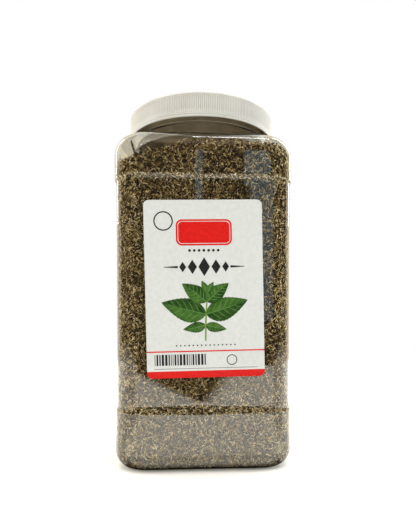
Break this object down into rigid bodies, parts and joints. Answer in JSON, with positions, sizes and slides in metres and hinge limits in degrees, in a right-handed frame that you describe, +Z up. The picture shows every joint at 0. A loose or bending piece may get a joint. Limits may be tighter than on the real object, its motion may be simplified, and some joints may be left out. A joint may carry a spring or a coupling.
{
  "type": "jar of dried basil",
  "caption": "Large clear square plastic jar with a white ribbed screw cap and a front label, filled with dried cut basil leaf.",
  "frame": {"origin": "middle of the base, on the surface that the jar stands on", "axes": "+Z up along the screw cap's axis; the front, with the label, faces -Y"},
  "size_m": [0.1286, 0.1286, 0.2668],
  "materials": {
    "pet": "clear glossy blow-moulded plastic",
    "cap_plastic": "satin white polypropylene with fine ribs",
    "liner_foam": "fine closed-cell foam",
    "label_paper": "smooth coated paper with a red rule and band",
    "dried_leaf": "dry rough leaf flakes"
  },
  "bodies": {
    "jar": {"jar": "pet", "label": "label_paper", "dried_basil": "dried_leaf"},
    "liner": {"cap_liner": "liner_foam"},
    "cap": {"cap": "cap_plastic"}
  },
  "joints": [
    {"name": "cap_rise", "type": "slide", "parent": "jar", "child": "liner", "axis": [0, 0, 1], "range_m": [0, 0.00635]},
    {"name": "cap_turn", "type": "hinge", "parent": "liner", "child": "cap", "pos_m": [0, 0, 0.2495], "axis": [0, 0, 1], "range_deg": [0, 450]}
  ],
  "couplings": [
    {"joint": "cap_rise", "follows": "cap_turn", "m_per_rad": 0.00080851}
  ]
}
